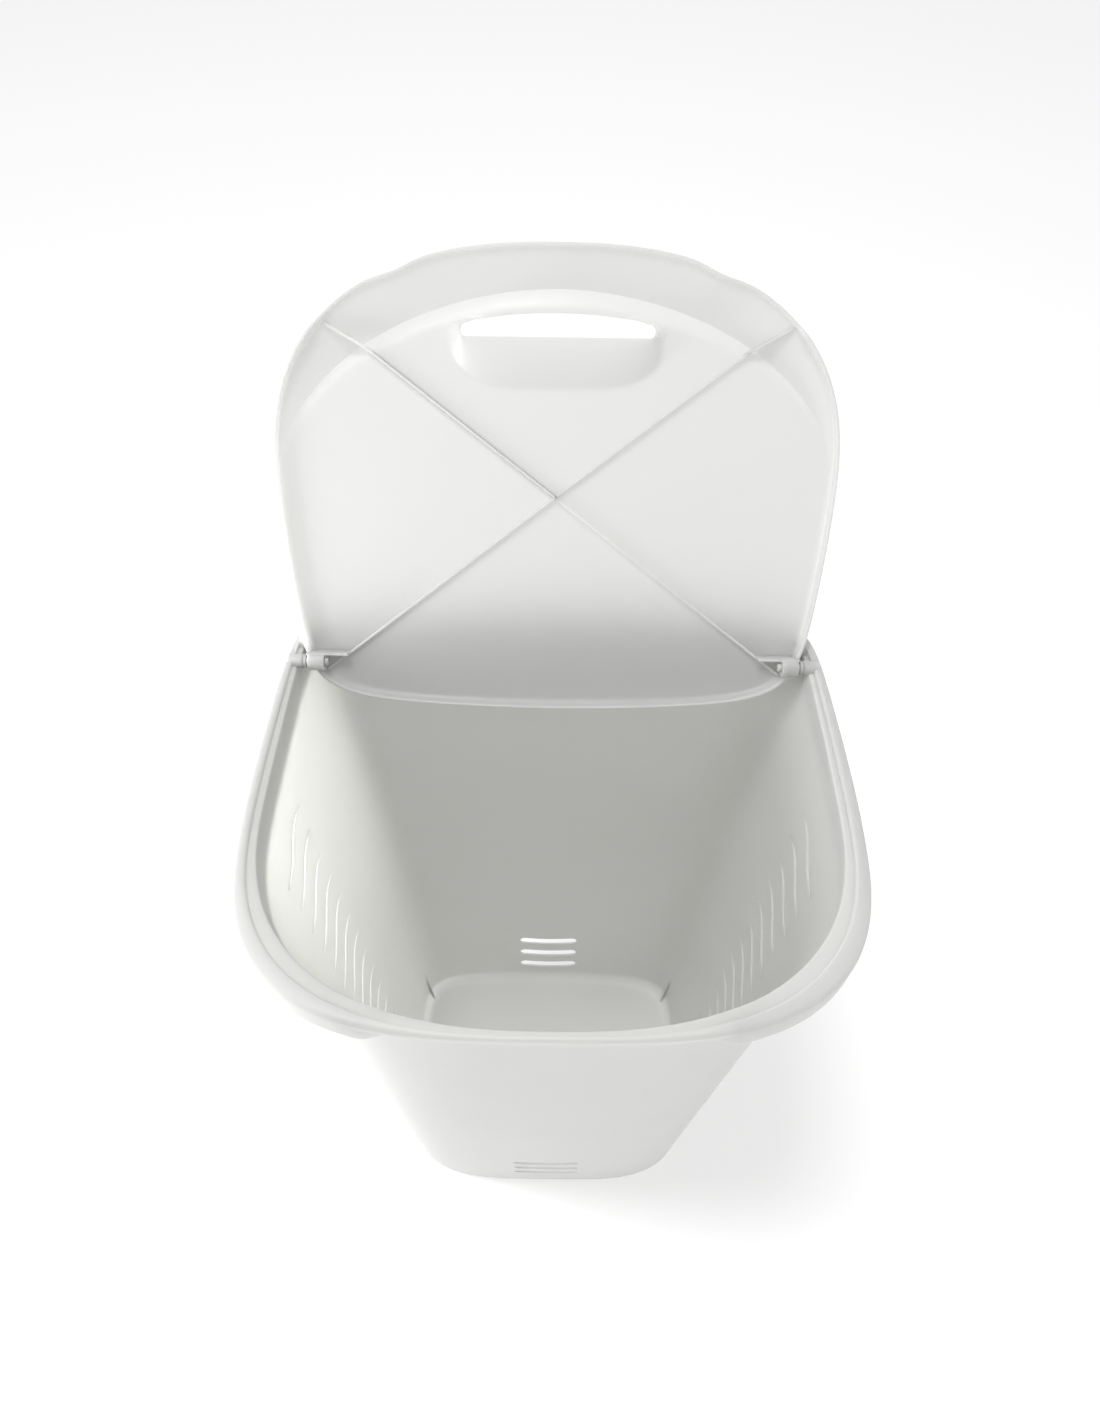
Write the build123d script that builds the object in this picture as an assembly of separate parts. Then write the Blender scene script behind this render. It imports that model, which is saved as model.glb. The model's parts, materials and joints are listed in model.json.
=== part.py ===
from build123d import *

import math
import os

# Laundry hamper with a hinged lid. Millimetres, +Z up, front towards -Y.
# The origin is the centre of the flat underside, where the hamper stands on the floor.

# ---- overall sizes
HEIGHT = 610.0            # floor to the top of the rim
WALL = 2.5                # moulded wall thickness
BASE_FILLET = 13.0        # outside radius where the walls meet the underside
OUTLINE_POINTS = 48       # points that carry each closed outline spline

# ---- hinge and lid angle
HINGE_Y = 151.0           # hinge axis behind the centre of the base
HINGE_Z = 606.0           # hinge axis above the floor, level with the lid ledge
LID_OPEN_ANGLE = 125.0    # how far the lid stands open in the rest pose

# ---- rim
LEDGE_Z = HINGE_Z         # the lid's edge rests on a ledge just below the rim's top
SKIRT_DEPTH = 29.0        # turned-down outer edge at the sides
SKIRT_DEPTH_FRONT = 8.0   # the same across the middle of the front
SCOOP_INNER_X = 88.0      # the skirt starts to deepen here ...
SCOOP_OUTER_X = 126.0     # ... and has its full depth from here

# ---- side vents: wavy slits that taper to a point at both ends
VENT_COUNT = 12
VENT_TOP_Z = 537.0
VENT_PITCH = 34.8
VENT_LENGTH = 72.0
VENT_WIDTH = 6.0
VENT_REAR_Y = 55.0        # rear end of the topmost vent
VENT_SHIFT_Y = -3.0       # each vent sits this much further forward than the one above
VENT_DROP = 10.0          # fall of each vent from its rear end to its front end
VENT_WAVE = 4.5           # height of its S-shaped wave

# ---- low slots in the back and front walls
LOW_SLOT_LENGTH = 69.0
LOW_SLOT_WIDTH = 12.0
LOW_SLOT_SAG = 2.5        # each slot hangs this much lower in its middle
LOW_SLOT_PITCH = 27.0
LOW_SLOT_COUNT = 3
BACK_SLOT_Z = 32.0
FRONT_SLOT_Z = 62.0

# ---- gussets: a thin web in each rear corner of the floor
GUSSET_FOOT = (142.0, 87.0)     # plan position of the end away from the corner
GUSSET_DIRECTION = (0.64, 0.77)  # towards the corner
GUSSET_HEIGHT = 60.0
GUSSET_RUN = 18.0               # plan length of its sloping edge
GUSSET_THICKNESS = 2.2

# ---- lid, measured with the lid closed: s runs forward from the hinge, h up from it
PANEL_TOP = 10.5
CREST_RISE = 8.0          # the visor's crest stands this much above the panel
VISOR_RUN = 31.0          # visor width at the middle of the front
RIB_WIDTH = 1.8
RIB_DEPTH = 3.2
RIB_CROSSING = (0.0, 134.0)     # the ribs' ends, as (x, s) on the right-hand side
RIB_KNEE = (142.5, 242.2)
RIB_FRONT_END = (176.0, 261.0)
RIB_REAR_END = (190.0, -11.0)
CORNER_WALL_S = 6.5             # the short wall that closes each rear corner off
CORNER_WALL_FROM_X = 168.0
CORNER_WALL_LOW = -3.0
SLOT_REAR = 252.0         # handle slot, from its straight rear edge ...
SLOT_FRONT = 269.0        # ... to the middle of its arched front edge
SLOT_ARCH = 7.0           # how far the arch falls back at its ends
SLOT_HALF_WIDTH = 72.0
SLOT_CORNER_R = 4.5
POCKET_REAR = 215.0
POCKET_HALF_WIDTH = 82.0
POCKET_DEPTH = 12.0
CREASE_HALF_WIDTH = 219.0
CREASE_POWER = 1.9
CREASE_REAR = 151.0
CREASE_FRONT = 286.0
EDGE_DROP = 1.5           # the lid's outer edge lies this much below its panel
LIFT_FROM = 266.0         # forward of this the lid's edge passes over the rim ...
LIFT_GAP = 0.6            # ... this much above the rim's top

# ---- hinge pins
PIN_R = 3.5
PIN_CHAMFER = 0.8
PIN_RUNNING_CLEARANCE = 0.06
PIN_INNER_X = 184.0
PIN_OUTER_X = 214.5
COLLAR_R = 5.5
COLLAR_FROM_X = 202.0
EAR_FROM_X = 204.6
EAR_TO_X = 218.0
EAR_R = 6.0
LUG_FROM_X = 187.0
LUG_TO_X = 200.2
LUG_R = 7.5

# ---- lid stops: a horn behind each ear whose face lies along the open lid
HORN_FROM_X = 198.2
HORN_WIDTH = 11.0
HORN_GAP = 0.15           # between the horn's face and the open lid
HORN_NEAR = 9.0           # the face starts and ends this far from the hinge axis
HORN_FAR = 20.0
HORN_TIP = (7.0, -3.0)    # back and down from the face's far end
HORN_ROOT = -14.0         # foot of the horn, below the hinge axis


class Outline:
    """A D-shaped plan outline: a superellipse in front, a squarer, bowed one behind."""

    def __init__(self, half_width, front, back, middle, front_power, back_power, splay, bow):
        self.half_width = half_width
        self.front = front
        self.back = back
        self.middle = middle
        self.front_power = front_power
        self.back_power = back_power
        self.splay = splay
        self.bow = bow

    def inset(self, amount):
        return Outline(
            self.half_width - amount,
            self.front + amount,
            self.back - amount,
            self.middle,
            self.front_power,
            self.back_power,
            self.splay,
            self.bow,
        )

    def between(self, other, share):
        def mix(name):
            return getattr(self, name) * (1 - share) + getattr(other, name) * share

        names = ("half_width", "front", "back", "middle", "front_power", "back_power", "splay", "bow")
        return Outline(*[mix(name) for name in names])

    def point(self, angle):
        forward = math.sin(angle) < 0
        power = self.front_power if forward else self.back_power
        depth = self.middle - self.front if forward else self.back - self.middle
        across = abs(math.cos(angle) / self.half_width) ** power
        along = abs(math.sin(angle) / depth) ** power
        radius = (across + along) ** (-1 / power)
        x = radius * math.cos(angle)
        y = radius * math.sin(angle)
        if not forward:
            share = y / depth
            x *= 1 - self.splay * share**1.5
            y -= self.bow * (x / self.half_width) ** 2 * share**4
        return x, self.middle + y

    def wire(self, z):
        points = [self.point(2 * math.pi * i / OUTLINE_POINTS) for i in range(OUTLINE_POINTS)]
        return Wire([Spline(*[(x, y, z) for x, y in points], periodic=True)])

    def face(self, z):
        return Face(self.wire(z))


# Plan outlines, by level. y values are forward (-) and back (+) of the base's centre.
BASE_OUTER = Outline(157.0, -123.0, 123.0, 4.0, 3.8, 7.0, 0.03, 7.0)
WALL_TOP_OUTER = Outline(216.5, -155.0, 200.5, 11.0, 2.5, 13.0, 0.035, 10.0)
RIM_OUTER = Outline(229.0, -159.5, 209.0, 11.0, 3.2, 12.0, 0.06, 10.0)
LEDGE_STEP = Outline(219.2, -155.8, 200.0, 11.0, 2.8, 13.0, 0.045, 10.0)
LID_OUTER = Outline(217.8, -166.0, 190.0, 1.0, 2.45, 9.0, 0.09, 14.0)


def solid_between(low, low_z, high, high_z):
    return loft([low.face(low_z), high.face(high_z)], ruled=True)


def slab(outline, low_z, high_z):
    return extrude(outline.face(low_z), amount=high_z - low_z, dir=(0, 0, 1))


def smooth_step(share):
    share = min(max(share, 0.0), 1.0)
    return share * share * (3 - 2 * share)


# ---------------------------------------------------------------- basket


def basket_shell():
    outer = solid_between(BASE_OUTER, 0, WALL_TOP_OUTER, LEDGE_Z)
    outer = fillet(outer.faces().sort_by(Axis.Z)[0].edges(), BASE_FILLET)
    # The cavity runs a little past the top, on the same slope as the wall.
    rise = 1.0
    share = (LEDGE_Z + rise - WALL) / (LEDGE_Z - WALL)
    floor_share = WALL / LEDGE_Z
    inner_base = BASE_OUTER.between(WALL_TOP_OUTER, floor_share).inset(WALL)
    inner_top = inner_base.between(WALL_TOP_OUTER.inset(WALL), share)
    cavity = solid_between(inner_base, WALL, inner_top, LEDGE_Z + rise)
    cavity = fillet(cavity.faces().sort_by(Axis.Z)[0].edges(), BASE_FILLET - WALL)
    return outer, cavity


def rim_cap():
    """The rim as a shallow upturned tray; its middle goes when the mouth is cut."""
    tray = slab(RIM_OUTER, HEIGHT - SKIRT_DEPTH, HEIGHT)
    return tray - slab(RIM_OUTER.inset(WALL), HEIGHT - SKIRT_DEPTH - 5, HEIGHT - WALL)


def skirt_scoop():
    """What is cut away below the front of the rim, so that fingers reach under it."""
    low = HEIGHT - SKIRT_DEPTH - 1
    steps = 8
    reach = 60.0
    right = []
    for i in range(steps + 1):
        x = SCOOP_INNER_X + (SCOOP_OUTER_X - SCOOP_INNER_X) * i / steps
        deepening = smooth_step(i / steps) * (SKIRT_DEPTH - SKIRT_DEPTH_FRONT)
        right.append((x, HEIGHT - SKIRT_DEPTH_FRONT - deepening))
    right_edge = Spline(*right)
    left_edge = Spline(*[(-x, z) for x, z in right])
    top_edge = Line(left_edge @ 0, right_edge @ 0)
    right_drop = Line(right_edge @ 1, (SCOOP_OUTER_X, low))
    left_drop = Line(left_edge @ 1, (-SCOOP_OUTER_X, low))
    bottom_edge = Line((-SCOOP_OUTER_X, low), (SCOOP_OUTER_X, low))
    outline = Wire([top_edge, right_edge, right_drop, bottom_edge, left_drop, left_edge])
    face = Plane.XZ.offset(-RIM_OUTER.front) * Face(outline)
    return extrude(face, amount=reach, both=True)


def vent_cutter(index, side):
    """One wavy slit, as a lens along an S curve, driven sideways through one side wall."""
    rear_y = VENT_REAR_Y + VENT_SHIFT_Y * index
    rear_z = VENT_TOP_Z - VENT_PITCH * index
    steps = 8
    tip_half = 0.3
    start_x = 90.0
    reach = 160.0
    upper = []
    lower = []
    for i in range(steps + 1):
        share = i / steps
        y = rear_y - VENT_LENGTH * share
        z = rear_z - VENT_DROP * share + VENT_WAVE * math.sin(2 * math.pi * share)
        half = tip_half + (VENT_WIDTH / 2 - tip_half) * math.sin(math.pi * share) ** 0.8
        upper.append((y, z + half))
        lower.append((y, z - half))
    top_edge = Spline(*upper)
    low_edge = Spline(*lower)
    rear = Line(top_edge @ 0, low_edge @ 0)
    front = Line(top_edge @ 1, low_edge @ 1)
    face = Plane.YZ.offset(side * start_x) * Face(Wire([top_edge, front, low_edge, rear]))
    return extrude(face, amount=reach, dir=(side, 0, 0))


def low_slots(z_lowest, facing):
    """Three rounded, slightly sagging slots, one above another, in the front or back wall."""
    wall_y = 140.0
    reach = 60.0
    end_x = (LOW_SLOT_LENGTH - LOW_SLOT_WIDTH) / 2
    centre_line = ThreePointArc((-end_x, LOW_SLOT_SAG / 2), (0, -LOW_SLOT_SAG / 2), (end_x, LOW_SLOT_SAG / 2))
    slot = Plane.XZ * SlotArc(centre_line, LOW_SLOT_WIDTH)
    cutter = extrude(slot, amount=reach, both=True)
    heights = [z_lowest + LOW_SLOT_PITCH * i for i in range(LOW_SLOT_COUNT)]
    return [Pos(0, facing * wall_y, z) * cutter for z in heights]


def corner_gusset(side):
    """A triangular web, run on into the corner's wall, where it is trimmed to the basket."""
    foot_x, foot_y = GUSSET_FOOT
    along_x, along_y = GUSSET_DIRECTION
    low = WALL / 2
    reach = 60.0
    profile = Polyline((0, low), (reach, low), (reach, GUSSET_HEIGHT), (GUSSET_RUN, GUSSET_HEIGHT), close=True)
    plane = Plane(origin=(side * foot_x, foot_y, 0), x_dir=(side * along_x, along_y, 0),
                  z_dir=(along_y, -side * along_x, 0))
    return extrude(plane * Face(Wire(profile.edges())), amount=GUSSET_THICKNESS / 2, both=True)


def hinge_ear(side):
    """The boss that holds a pin, and behind it the horn that the open lid leans on."""
    low_x = EAR_FROM_X
    high_x = EAR_TO_X
    boss = Pos(side * (low_x + high_x) / 2, HINGE_Y, HINGE_Z) * Rot(0, 90, 0) * Cylinder(EAR_R, high_x - low_x)
    open_angle = math.radians(180 - LID_OPEN_ANGLE)
    along = (math.cos(open_angle), math.sin(open_angle))
    normal = (math.sin(open_angle), -math.cos(open_angle))
    away = PANEL_TOP + HORN_GAP
    near = (away * normal[0] + HORN_NEAR * along[0], away * normal[1] + HORN_NEAR * along[1])
    far = (away * normal[0] + HORN_FAR * along[0], away * normal[1] + HORN_FAR * along[1])
    tip = (far[0] + HORN_TIP[0], far[1] + HORN_TIP[1])
    profile = Polyline(near, far, tip, (tip[0], HORN_ROOT), (near[0], HORN_ROOT), close=True)
    face = Plane.YZ.offset(side * HORN_FROM_X) * Face(Wire(profile.edges()))
    horn = Pos(0, HINGE_Y, HINGE_Z) * extrude(face, amount=HORN_WIDTH, dir=(side, 0, 0))
    return boss + horn


def hinge_bore(side):
    overrun = 1.0
    length = PIN_OUTER_X - EAR_FROM_X + overrun
    middle = EAR_FROM_X - overrun + length / 2
    return Pos(side * middle, HINGE_Y, HINGE_Z) * Rot(0, 90, 0) * Cylinder(PIN_R, length)


def make_basket():
    outer, cavity = basket_shell()
    ledge_block = slab(LEDGE_STEP.inset(-WALL), LEDGE_Z - WALL, HEIGHT - 1)
    mouth = slab(LEDGE_STEP, LEDGE_Z, HEIGHT + 5)
    body = outer + [rim_cap(), ledge_block]
    body -= [cavity, mouth, skirt_scoop()]
    body += [hinge_ear(1), hinge_ear(-1), corner_gusset(1) & outer, corner_gusset(-1) & outer]
    cutters = [hinge_bore(1), hinge_bore(-1)]
    for index in range(VENT_COUNT):
        cutters += [vent_cutter(index, 1), vent_cutter(index, -1)]
    cutters += low_slots(BACK_SLOT_Z, 1) + low_slots(FRONT_SLOT_Z, -1)
    return body - cutters


# ---------------------------------------------------------------- lid, built closed


def crease_region(shrink, low, high):
    """Everything behind the crescent crease that divides the panel from the visor."""
    half = CREASE_HALF_WIDTH - shrink
    back = HINGE_Y + 80
    steps = 12
    points = []
    for i in range(steps + 1):
        x = half * math.sin(math.pi / 2 * (2 * i / steps - 1))
        bulge = (1 - min(abs(x / half), 1.0) ** CREASE_POWER) ** (1 / CREASE_POWER)
        s = CREASE_REAR + (CREASE_FRONT - shrink - CREASE_REAR) * bulge
        points.append((x, HINGE_Y - s))
    crease = Spline(*points)
    outline = Wire(
        [
            crease,
            Line(crease @ 1, (half, back)),
            Line((half, back), (-half, back)),
            Line((-half, back), crease @ 0),
        ]
    )
    return Pos(0, 0, HINGE_Z + low) * extrude(Face(outline), amount=high - low)


def lid_body(inset, drop, low):
    """The lid's outer form, or with an inset and a drop, the hollow below it."""
    edge_top = HINGE_Z + PANEL_TOP - EDGE_DROP - drop
    outline = LID_OUTER.inset(inset)
    crest = outline.inset(VISOR_RUN)
    edge = extrude(outline.face(HINGE_Z + low), amount=edge_top - HINGE_Z - low)
    crown = solid_between(outline, edge_top, crest, edge_top + CREST_RISE + EDGE_DROP)
    panel_top = PANEL_TOP - drop
    return edge + (crown - crease_region(WALL - inset, panel_top, PANEL_TOP + CREST_RISE + 5))


def pocket_wedge(half_width, depth, rear_s, top):
    """A wedge that deepens from the pocket's curved rear edge to the slot."""
    front_y = HINGE_Y - SLOT_REAR
    level_run = 8.0
    profile = Polyline(
        (HINGE_Y - rear_s, top),
        (front_y + level_run, top - depth),
        (front_y, top - depth),
        (front_y, top),
        close=True,
    )
    face = Plane.YZ * Face(Wire(profile.edges()))
    wedge = extrude(face, amount=half_width, both=True)
    # An arc rounds the wedge's rear corners in plan.
    reach = SLOT_REAR - rear_s
    rounding = Pos(0, front_y, 0) * extrude(Ellipse(half_width, reach), amount=60, both=True)
    return Pos(0, 0, HINGE_Z) * (wedge & rounding)


def handle_slot():
    rear = HINGE_Y - SLOT_REAR
    front = HINGE_Y - SLOT_FRONT
    shoulder = front + SLOT_ARCH
    arch = ThreePointArc((-SLOT_HALF_WIDTH, shoulder), (0, front), (SLOT_HALF_WIDTH, shoulder))
    right = Line(arch @ 1, (SLOT_HALF_WIDTH, rear))
    back = Line((SLOT_HALF_WIDTH, rear), (-SLOT_HALF_WIDTH, rear))
    left = Line((-SLOT_HALF_WIDTH, rear), arch @ 0)
    face = Face(Wire([arch, right, back, left]))
    cutter = extrude(Pos(0, 0, HINGE_Z) * face, amount=PANEL_TOP + 2)
    return fillet(cutter.edges().filter_by(Axis.Z), SLOT_CORNER_R)


def rib(start, end, low, high):
    """One stiffening rib below the lid's skin, from (x, s) to (x, s)."""
    x0, s0 = start
    x1, s1 = end
    length = math.hypot(x1 - x0, s1 - s0)
    angle = math.degrees(math.atan2(s0 - s1, x1 - x0))
    height = high - low
    bar = Box(length, RIB_WIDTH, height)
    place = Pos((x0 + x1) / 2, HINGE_Y - (s0 + s1) / 2, HINGE_Z + low + height / 2)
    return place * Rot(0, 0, angle) * bar


def lid_ribs():
    """An X across the panel whose front arms bend where they cross the crease, and a wall by each pin."""
    low = PANEL_TOP - WALL - RIB_DEPTH
    panel_high = PANEL_TOP - WALL / 2
    visor_high = PANEL_TOP + CREST_RISE
    bars = []
    for side in (1, -1):
        knee = (side * RIB_KNEE[0], RIB_KNEE[1])
        front_end = (side * RIB_FRONT_END[0], RIB_FRONT_END[1])
        rear_end = (side * RIB_REAR_END[0], RIB_REAR_END[1])
        wall_start = (side * CORNER_WALL_FROM_X, CORNER_WALL_S)
        wall_end = (side * LID_OUTER.half_width, CORNER_WALL_S)
        bars.append(rib(RIB_CROSSING, knee, low, panel_high))
        bars.append(rib(knee, front_end, low, visor_high))
        bars.append(rib(RIB_CROSSING, rear_end, low, panel_high))
        bars.append(rib(wall_start, wall_end, CORNER_WALL_LOW, panel_high))
    return bars


def hinge_lug(side):
    """The deep part of the lid's corner that the pin runs in."""
    length = LUG_TO_X - LUG_FROM_X
    middle = side * (LUG_FROM_X + LUG_TO_X) / 2
    web_height = PANEL_TOP - 1
    round_part = Pos(middle, HINGE_Y, HINGE_Z) * Rot(0, 90, 0) * Cylinder(LUG_R, length)
    web = Pos(middle, HINGE_Y, HINGE_Z + web_height / 2) * Box(length, 2 * LUG_R, web_height)
    return round_part + web


def lug_bore(side):
    length = LUG_TO_X - LUG_FROM_X + 2
    middle = side * (LUG_FROM_X + LUG_TO_X) / 2
    radius = PIN_R + PIN_RUNNING_CLEARANCE
    return Pos(middle, HINGE_Y, HINGE_Z) * Rot(0, 90, 0) * Cylinder(radius, length)


def open_lid(shape):
    """Turns a shape about the hinge axis, from the closed lid to the open one."""
    to_hinge = Pos(0, HINGE_Y, HINGE_Z)
    from_hinge = Pos(0, -HINGE_Y, -HINGE_Z)
    return to_hinge * Rot(-LID_OPEN_ANGLE, 0, 0) * from_hinge * shape


def make_lid():
    body = lid_body(0, 0, 0)
    hollow = lid_body(WALL, WALL, -5)
    body -= hollow
    within = lid_body(WALL / 2, 0, CORNER_WALL_LOW)
    for bar in lid_ribs():
        body += bar & within
    for side in (1, -1):
        body += hinge_lug(side)
    body += pocket_wedge(POCKET_HALF_WIDTH, POCKET_DEPTH + WALL, POCKET_REAR - WALL, PANEL_TOP - 0.5)
    body -= pocket_wedge(POCKET_HALF_WIDTH - WALL, POCKET_DEPTH, POCKET_REAR, PANEL_TOP + 0.01)
    body -= handle_slot()
    for side in (1, -1):
        body -= lug_bore(side)
    # Across the front the lid's edge passes over the rim, so it stops above the rim's top.
    lift = HEIGHT - LEDGE_Z + LIFT_GAP
    block = Box(460, 100, 2 * lift, align=(Align.CENTER, Align.MAX, Align.CENTER))
    body -= Pos(0, HINGE_Y - LIFT_FROM, HINGE_Z) * block
    return open_lid(body)


# ---------------------------------------------------------------- hinge pins


def make_pin(side):
    length = PIN_OUTER_X - PIN_INNER_X
    shaft = Cylinder(PIN_R, length)
    shaft = chamfer(shaft.edges().filter_by(GeomType.CIRCLE), PIN_CHAMFER)
    shaft = Pos(side * (PIN_INNER_X + length / 2), HINGE_Y, HINGE_Z) * Rot(0, 90, 0) * shaft
    collar_length = EAR_FROM_X - COLLAR_FROM_X
    collar = Cylinder(COLLAR_R, collar_length)
    collar = Pos(side * (COLLAR_FROM_X + collar_length / 2), HINGE_Y, HINGE_Z) * Rot(0, 90, 0) * collar
    return shaft + collar


def main():
    os.makedirs("parts", exist_ok=True)
    pieces = {
        "basket": make_basket(),
        "lid": make_lid(),
        "left_hinge_pin": make_pin(-1),
        "right_hinge_pin": make_pin(1),
    }
    for name, shape in pieces.items():
        solids = shape.solids()
        export_step(solids[0] if len(solids) == 1 else Compound(solids), f"parts/{name}.step")
        print(name, len(solids), "solid(s)", round(shape.volume), "mm3")


main()
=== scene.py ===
import json
import math

import bmesh
import bpy
from mathutils import Matrix, Vector


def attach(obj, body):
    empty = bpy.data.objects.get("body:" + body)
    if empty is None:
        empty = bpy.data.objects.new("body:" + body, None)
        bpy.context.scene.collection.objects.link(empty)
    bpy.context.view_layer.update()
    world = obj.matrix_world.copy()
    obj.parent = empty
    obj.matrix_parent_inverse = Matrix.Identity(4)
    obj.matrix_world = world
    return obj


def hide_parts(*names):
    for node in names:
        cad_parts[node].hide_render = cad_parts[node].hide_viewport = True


# Looks for the laundry hamper with lid. Metres, +Z up, front towards -Y, the floor at Z 0.

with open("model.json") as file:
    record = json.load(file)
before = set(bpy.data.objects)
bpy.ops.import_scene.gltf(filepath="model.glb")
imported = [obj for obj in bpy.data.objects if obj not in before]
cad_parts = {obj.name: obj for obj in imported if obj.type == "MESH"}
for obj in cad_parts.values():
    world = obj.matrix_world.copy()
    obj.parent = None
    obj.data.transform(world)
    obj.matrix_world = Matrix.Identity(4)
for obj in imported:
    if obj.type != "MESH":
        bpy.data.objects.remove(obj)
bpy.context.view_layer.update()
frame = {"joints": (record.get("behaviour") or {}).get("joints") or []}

# ---- the hinge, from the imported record
LID_HINGE = frame["joints"][0]
HINGE_Y, HINGE_Z = LID_HINGE["pos_m"][1:]
OPEN_ANGLE = math.radians(LID_HINGE["range_deg"][1])

# ---- basket
RIM_TOP_Z = 0.610
LEDGE_Z = HINGE_Z
WALL = 0.0025
BASE_FILLET = 0.013
LIP_DEPTH = 0.008           # height of the lip across the front of the rim
SKIRT_DEPTH = 0.029         # height of the rim's turned-down skirt at the sides
SCOOP_INNER_X = 0.088       # between these the skirt runs in under the lip
SCOOP_OUTER_X = 0.130
LEDGE_FADE_FROM_Y = -0.132  # forward of this the ledge rises until it is level with the rim
LEDGE_FADE_TO_Y = -0.146

# ---- corner webs on the floor
GUSSET_FOOT = (0.142, 0.087)      # plan position of the end away from the corner
GUSSET_DIRECTION = (0.64, 0.77)   # towards the corner
GUSSET_THICKNESS = 0.0022

# ---- side vents and low slots
VENT_COUNT = 12
VENT_TOP_Z = 0.537
VENT_PITCH = 0.0348
VENT_LENGTH = 0.072
VENT_WIDTH = 0.006
VENT_REAR_Y = 0.055
VENT_SHIFT_Y = -0.003
VENT_DROP = 0.010
VENT_WAVE = 0.0045
LOW_SLOT_LENGTH = 0.069
LOW_SLOT_WIDTH = 0.012
LOW_SLOT_SAG = 0.0025
LOW_SLOT_PITCH = 0.027
LOW_SLOT_COUNT = 3
BACK_SLOT_Z = 0.032
FRONT_SLOT_Z = 0.062

# ---- lid, closed: s runs forward from the hinge, h up from it
PANEL_TOP = 0.0105
EDGE_TOP = 0.009
CREST_TOP = 0.0185
VISOR_RUN = 0.031
CREASE_HALF_WIDTH = 0.213
CREASE_REACH = 0.136
CREASE_POWER = 1.9
RISER_RUN = 0.017
SHOULDER_X = 0.122          # the front outline dips a little each side of its middle
SHOULDER_DIP = 0.003
SHOULDER_WIDTH = 0.016
RIB_WIDTH = 0.0018
RIB_LOW = 0.0048
RIB_EDGE = 0.0004           # a rib's lower corners are cut back by this much
RIB_CROSSING = (0.0, 0.134)       # the ribs' ends, as (x, s) on the right-hand side
RIB_KNEE = (0.1435, 0.2429)
VISOR_RIB_START = (0.142, 0.2421)
VISOR_RIB_END = (0.1745, 0.2602)
VISOR_RIB_HIGH = 0.012
RIB_REAR_END = (0.186, -0.008)
CORNER_WALL_S = 0.0065      # the short wall that closes each rear corner off
CORNER_WALL_LOW = -0.003
CORNER_WALL_FROM_X = 0.168
CORNER_WALL_LENGTH = 0.0335
GATE_S = 0.1415             # the round moulding mark by the ribs' crossing
GATE_R = 0.0024
SLOT_REAR = 0.252
SLOT_FRONT = 0.269
SLOT_ARCH = 0.007
SLOT_HALF_WIDTH = 0.072
SLOT_CORNER = 0.0045
POCKET_REAR = 0.215
POCKET_HALF_WIDTH = 0.082
POCKET_DEPTH = 0.012
LIFT = 0.0046               # the edge's clearance where it passes over the front of the rim
LIFT_FROM_S = 0.255
LIFT_RUN = 0.011

# ---- hinge pins
PIN_R = 0.0035
PIN_INNER_X = 0.184
PIN_OUTER_X = 0.2145
COLLAR_R = 0.0055
COLLAR_FROM_X = 0.2020
EAR_FROM_X = 0.2046
EAR_TO_X = 0.218
EAR_R = 0.006
LUG_FROM_X = 0.187
LUG_TO_X = 0.2002
LUG_R = 0.0075
BORE_CLEARANCE = 0.00006

# ---- lid stops: a horn behind each ear whose face lies along the open lid
HORN_FROM_X = 0.1982
HORN_WIDTH = 0.011
HORN_GAP = 0.00015          # between the horn's face and the open lid
HORN_NEAR = 0.009           # the face starts this far from the hinge axis, ...
HORN_ROUND_FROM = 0.0185    # ... starts to round over here ...
HORN_FAR = 0.0195           # ... and ends here
HORN_ROOT = -0.014          # foot of the horn, below the hinge axis

ROUND = 360                 # columns in every swept form
ANGLES = [2 * math.pi * i / ROUND for i in range(ROUND)]


def clamp(value, low=0.0, high=1.0):
    return min(max(value, low), high)


def smooth(value):
    value = clamp(value)
    return value * value * (3 - 2 * value)


def mix(a, b, share):
    return a + (b - a) * share


# ---------------------------------------------------------------- plan outlines


class Outline:
    """A D-shaped plan outline: a superellipse in front, a squarer, bowed one behind."""

    def __init__(self, half_width, front, back, middle, front_power, back_power, splay, bow):
        self.half_width = half_width
        self.front = front
        self.back = back
        self.middle = middle
        self.front_power = front_power
        self.back_power = back_power
        self.splay = splay
        self.bow = bow

    def point(self, angle, inset=0.0):
        half_width = self.half_width - inset
        forward = math.sin(angle) < 0
        power = self.front_power if forward else self.back_power
        depth = self.middle - self.front if forward else self.back - self.middle
        depth -= inset
        across = abs(math.cos(angle) / half_width) ** power
        along = abs(math.sin(angle) / depth) ** power
        radius = (across + along) ** (-1 / power)
        x = radius * math.cos(angle)
        y = radius * math.sin(angle)
        if not forward:
            share = y / depth
            x *= 1 - self.splay * share**1.5
            y -= self.bow * (x / half_width) ** 2 * share**4
        return Vector((x, self.middle + y))


BASE_OUTER = Outline(0.157, -0.123, 0.123, 0.004, 3.8, 7.0, 0.03, 0.007)
WALL_TOP_OUTER = Outline(0.2165, -0.155, 0.2005, 0.011, 2.5, 13.0, 0.035, 0.010)
RIM_OUTER = Outline(0.229, -0.1595, 0.209, 0.011, 3.2, 12.0, 0.06, 0.010)
LEDGE_STEP = Outline(0.2192, -0.1558, 0.200, 0.011, 2.8, 13.0, 0.045, 0.010)
LID_OUTER = Outline(0.2178, -0.166, 0.190, 0.001, 2.45, 9.0, 0.09, 0.014)


# ---------------------------------------------------------------- mesh helpers


def make_object(name, vertices, faces):
    mesh = bpy.data.meshes.new(name)
    mesh.from_pydata([tuple(v) for v in vertices], [], faces)
    mesh.validate()
    obj = bpy.data.objects.new(name, mesh)
    bpy.context.scene.collection.objects.link(obj)
    face_outwards(mesh)
    return obj


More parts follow.
